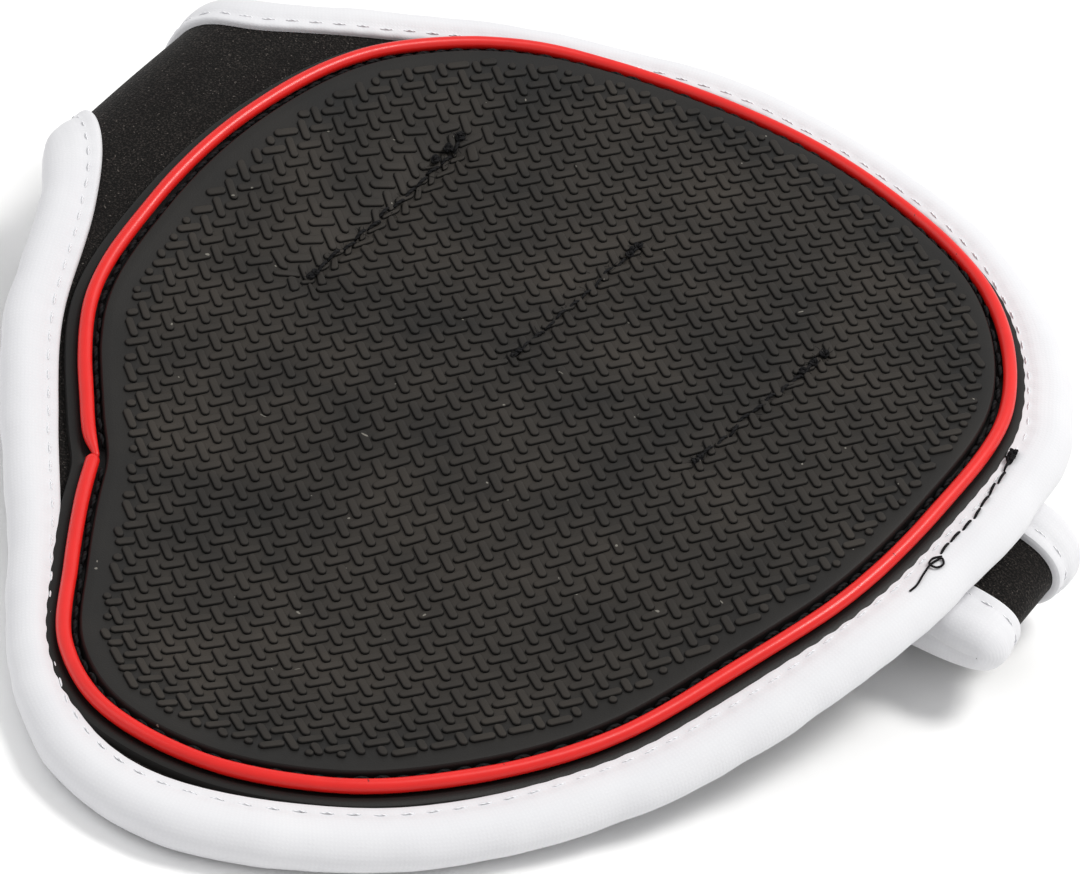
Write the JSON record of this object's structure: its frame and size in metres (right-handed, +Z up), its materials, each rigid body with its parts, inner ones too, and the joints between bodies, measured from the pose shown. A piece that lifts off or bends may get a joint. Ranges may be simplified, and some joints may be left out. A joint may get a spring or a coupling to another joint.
{
  "type": "lifting grip pad",
  "caption": "Palm-shaped rubber and neoprene grip pad with a bound edge and a strap sewn underneath into finger loops, for gripping a lifting bar.",
  "frame": {"origin": "bottom centre of the whole, on the surface that it lies on", "axes": "+X along the strap, from its fold towards its free end; +Y from the heel towards the fingertips; +Z up, out of the palm side"},
  "size_m": [0.1222, 0.1384, 0.0275],
  "materials": {
    "neoprene": "matte black knit-faced neoprene",
    "binding": "white stretch tape, folded over the edge and stitched",
    "palm_rubber": "matte black rubber with a raised pattern of short bars",
    "bead": "glossy red bead"
  },
  "bodies": {
    "root": {"palm_panel": "neoprene", "finger_strap": "neoprene", "edge_binding": "binding", "strap_binding_front": "binding", "strap_binding_back": "binding", "rubber_palm": "palm_rubber", "red_bead": "bead"}
  },
  "joints": []
}
